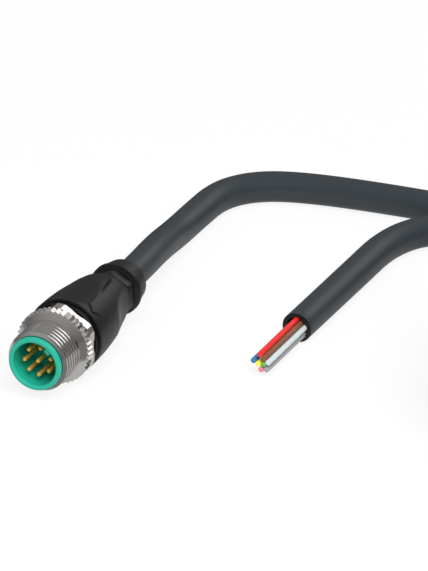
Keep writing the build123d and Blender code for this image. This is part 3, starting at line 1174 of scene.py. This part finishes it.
def floor_material(shadow, reflected):
    """A white floor: the camera sees its shadow only in part, reflections show it greyer."""
    material = bpy.data.materials.new("floor white")
    nodes, links = empty_nodes(material)
    out = nodes.new("ShaderNodeOutputMaterial")
    mix = nodes.new("ShaderNodeMixShader")
    matt = nodes.new("ShaderNodeBsdfDiffuse")
    matt.inputs["Color"].default_value = (0.94, 0.94, 0.94, 1.0)
    glow = nodes.new("ShaderNodeEmission")
    glow.inputs["Color"].default_value = (1.0, 1.0, 1.0, 1.0)
    path = nodes.new("ShaderNodeLightPath")
    level = level_node(nodes, reflected, 1.0)
    links.new(path.outputs["Is Camera Ray"], level.inputs["Value"])
    links.new(level.outputs["Result"], glow.inputs["Strength"])
    share = nodes.new("ShaderNodeMath")
    share.operation = "MULTIPLY"
    share.inputs[1].default_value = 1.0 - shadow
    links.new(seen_rays(nodes, links), share.inputs[0])
    links.new(share.outputs[0], mix.inputs[0])
    links.new(matt.outputs[0], mix.inputs[1])
    links.new(glow.outputs[0], mix.inputs[2])
    links.new(mix.outputs[0], out.inputs["Surface"])
    return material


def white_world(strength):
    """An even sky that the camera sees as white."""
    world = bpy.data.worlds.new("studio")
    nodes, links = empty_nodes(world)
    out = nodes.new("ShaderNodeOutputWorld")
    back = nodes.new("ShaderNodeBackground")
    back.inputs["Color"].default_value = (1.0, 1.0, 1.0, 1.0)
    level = level_node(nodes, strength, 1.0)
    links.new(seen_rays(nodes, links), level.inputs["Value"])
    links.new(level.outputs["Result"], back.inputs["Strength"])
    links.new(back.outputs[0], out.inputs["Surface"])
    return world


def camera(stage):
    """The camera at the photograph's angle, far away behind a long lens."""
    data = bpy.data.cameras.new("camera")
    data.sensor_fit = "VERTICAL"
    data.sensor_height = 36.0
    data.lens = stage.lens
    distance = stage.picture_height * data.lens / data.sensor_height
    data.clip_start = 0.01
    data.clip_end = distance * 4
    back = (CAMERA_BACK - CAMERA_RIGHT * CAMERA_BACK.dot(CAMERA_RIGHT)).normalized()
    up = back.cross(CAMERA_RIGHT)
    piece = bpy.data.objects.new("camera", data)
    turn = Matrix((CAMERA_RIGHT, up, back)).transposed().to_4x4()
    piece.matrix_world = Matrix.Translation(CAMERA_AIM + back * distance) @ turn
    bpy.context.scene.collection.objects.link(piece)
    bpy.context.scene.camera = piece
    return piece


# Operators


def settings(context):
    """The sizes, colours and stage values of the scene."""
    return context.scene.cable_plug


class CABLEPLUG_OT_stage(bpy.types.Operator):
    """Adds the floor, the white surroundings, the lamps and the camera"""

    bl_idname = "cable_plug.stage"
    bl_label = "Stage"

    def execute(self, context):
        stage = settings(context).stage
        mesh = bmesh.new()
        below = Matrix.Translation((0, 0, -FLOOR_SINK))
        bmesh.ops.create_grid(mesh, x_segments=1, y_segments=1, size=3.0, matrix=below)
        stage_piece("floor", mesh, floor_material(stage.floor_shadow, stage.floor_reflected))
        context.scene.world = white_world(stage.sky_strength)
        key = lamp(
            "key",
            place=(0.33, -0.36, 0.62),
            aim=(0.02, 0.0, 0.0),
            size=(0.55, 0.55),
            power=stage.key_power,
        )
        key.visible_glossy = False
        dome = stage.dome_strength
        grey_dome(dome)
        floor_card("front card", low=(-0.6, -0.6), high=(0.6, -0.017), strength=dome)
        floor_card("left card", low=(-0.6, 0.01), high=(-0.008, 0.6), strength=dome / 3)
        softbox("back softbox", heading=17.0, height=27.5, size=(0.54, 0.37), strength=1.8)
        softbox("left softbox", heading=-38.0, height=14.0, size=(0.20, 0.20), strength=0.45)
        camera(stage)
        context.scene.view_settings.view_transform = "Standard"
        return {"FINISHED"}


class CABLEPLUG_OT_cable(bpy.types.Operator):
    """Adds the cable, the jacket's cut end and the eight bare cores"""

    bl_idname = "cable_plug.cable"
    bl_label = "Cable and cores"

    def execute(self, context):
        all_settings = settings(context)
        sizes, colours = all_settings.cable, all_settings.colours
        jacket = jacket_plastic(colours)
        cable = cable_curve(sizes, jacket)
        end = jacket_end(sizes, jacket, cut_plastic_painted_shade(colours))
        cores = [core_bar(name, core_plastic(colours, name)) for name in CORE_NAMES]
        strap = strap_plastic(colours)
        ties = [dressed(name, strap) for name in ("hank_tie_near", "hank_tie_far")]
        return {"FINISHED"}


class CABLEPLUG_OT_screw(bpy.types.Operator):
    """Adds the coupling screw with its thread, teeth and flats"""

    bl_idname = "cable_plug.screw"
    bl_label = "Coupling screw"

    def execute(self, context):
        all_settings = settings(context)
        coupling_screw(all_settings.screw, nickel(all_settings.colours))
        return {"FINISHED"}


class CABLEPLUG_OT_grip(bpy.types.Operator):
    """Adds the moulded grip and finishes the ring in front of it"""

    bl_idname = "cable_plug.grip"
    bl_label = "Grip"

    def execute(self, context):
        all_settings = settings(context)
        moulded_grip(all_settings.grip, all_settings.cable, grip_rubber(all_settings.colours))
        # The ring is darker and duller than the grip, as painted shade in the gap behind the screw
        dressed("detent_ring", ring_plastic_painted_shade(all_settings.colours))
        return {"FINISHED"}


class CABLEPLUG_OT_insert(bpy.types.Operator):
    """Finishes the insert, its contacts and what is moulded in behind them"""

    bl_idname = "cable_plug.insert"
    bl_label = "Insert and contacts"

    def execute(self, context):
        colours = settings(context).colours
        for node in ("carrier_skirt", "contact_carrier"):
            dressed(node, insert_plastic(colours))
        for number in range(1, 9):
            dressed(f"contact_{number}", gold(colours))
        dressed("inner_mould", mould_plastic(colours))
        for name in CORE_NAMES:
            dressed(f"inner_core_{name}", core_plastic(colours, name))
        return {"FINISHED"}


class CABLEPLUG_PT_panel(bpy.types.Panel):
    """Sizes, colours and build steps of the cable plug"""

    bl_label = "Cable plug"
    bl_idname = "CABLEPLUG_PT_panel"
    bl_space_type = "VIEW_3D"
    bl_region_type = "UI"
    bl_category = "Cable plug"

    def draw(self, context):
        layout = self.layout
        for operator in OPERATORS:
            layout.operator(operator.bl_idname)
        all_settings = settings(context)
        for name in ("screw", "grip", "cable", "colours", "stage"):
            group = getattr(all_settings, name)
            box = layout.box()
            box.label(text=name.capitalize())
            for key in group.__annotations__:
                box.prop(group, key)


OPERATORS = (
    CABLEPLUG_OT_stage,
    CABLEPLUG_OT_cable,
    CABLEPLUG_OT_screw,
    CABLEPLUG_OT_grip,
    CABLEPLUG_OT_insert,
)
CLASSES = (
    ScrewSettings,
    GripSettings,
    CableSettings,
    ColourSettings,
    StageSettings,
    PlugSettings,
    *OPERATORS,
    CABLEPLUG_PT_panel,
)


def register():
    """Adds the classes and the scene's settings"""
    for cls in CLASSES:
        bpy.utils.register_class(cls)
    bpy.types.Scene.cable_plug = bpy.props.PointerProperty(type=PlugSettings)


def unregister():
    """Takes the settings and the classes away"""
    del bpy.types.Scene.cable_plug
    for cls in reversed(CLASSES):
        bpy.utils.unregister_class(cls)


def main():
    """Builds the whole scene"""
    register()
    bpy.ops.cable_plug.stage()
    bpy.ops.cable_plug.cable()
    bpy.ops.cable_plug.screw()
    bpy.ops.cable_plug.grip()
    bpy.ops.cable_plug.insert()


if __name__ == "__main__":
    main()
